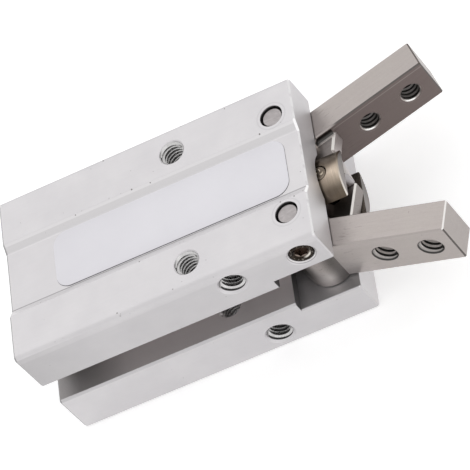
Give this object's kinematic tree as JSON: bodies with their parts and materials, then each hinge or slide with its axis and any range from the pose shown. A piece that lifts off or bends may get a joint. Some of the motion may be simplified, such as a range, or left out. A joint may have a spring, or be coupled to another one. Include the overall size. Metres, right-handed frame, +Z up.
{
  "type": "pneumatic angular gripper",
  "caption": "Small pneumatic angular gripper: extruded aluminium body with side sensor slots, a piston whose slotted rod head swings steel fingers open and shut on pivot pins.",
  "frame": {"origin": "centre of the rear locating bore, in the rear mounting face", "axes": "+X from the rear face towards the fingers, +Z up out of the label face, +Y to the left seen from behind"},
  "size_m": [0.0528, 0.0272, 0.0166],
  "materials": {
    "body_anodised": "clear anodised, fine matte",
    "cap_anodised": "turned, clear anodised",
    "spring_steel": "phosphated spring steel",
    "seal_rubber": "matte black nitrile",
    "bumper_rubber": "matte urethane",
    "retainer_brass": "turned",
    "piston_aluminium": "turned",
    "magnet": "plain sintered",
    "rod_steel": "turned stainless steel",
    "nut_steel": "plain",
    "cross_pin_steel": "ground, end peened",
    "pivot_pin_steel": "ground",
    "set_screw_steel": "dark oxide, oiled",
    "label_film": "plain white label film",
    "finger_steel": "ground along the length, faces lightly brushed"
  },
  "bodies": {
    "housing": {"gripper_body": "body_anodised", "retaining_ring": "spring_steel", "end_cap": "cap_anodised", "end_cap_o_ring": "seal_rubber", "rear_bumper": "bumper_rubber", "front_bumper": "bumper_rubber", "seal_retainer": "retainer_brass", "rod_seal": "seal_rubber", "pivot_pin_left": "pivot_pin_steel", "pivot_pin_right": "pivot_pin_steel", "set_screw_left": "set_screw_steel", "set_screw_right": "set_screw_steel"},
    "piston_assembly": {"piston": "piston_aluminium", "piston_seal": "seal_rubber", "magnet_ring": "magnet", "tail_o_ring": "seal_rubber", "piston_rod": "rod_steel", "piston_nut": "nut_steel", "cross_pin": "cross_pin_steel"},
    "left_finger": {"finger_left": "finger_steel"},
    "right_finger": {"finger_right": "finger_steel"}
  },
  "joints": [
    {"name": "piston_slide", "type": "slide", "parent": "housing", "child": "piston_assembly", "axis": [1, 0, 0], "range_m": [-0.00269, 0]},
    {"name": "left_finger_pivot", "type": "hinge", "parent": "housing", "child": "left_finger", "pos_m": [0.0359, 0.007, 0], "axis": [0, 0, 1], "range_deg": [-21.3, 0]},
    {"name": "right_finger_pivot", "type": "hinge", "parent": "housing", "child": "right_finger", "pos_m": [0.0359, -0.007, 0], "axis": [0, 0, 1], "range_deg": [0, 21.3]}
  ],
  "couplings": [
    {"joint": "left_finger_pivot", "follows": "piston_slide", "rad_per_m": 138.26},
    {"joint": "right_finger_pivot", "follows": "piston_slide", "rad_per_m": -138.26}
  ]
}
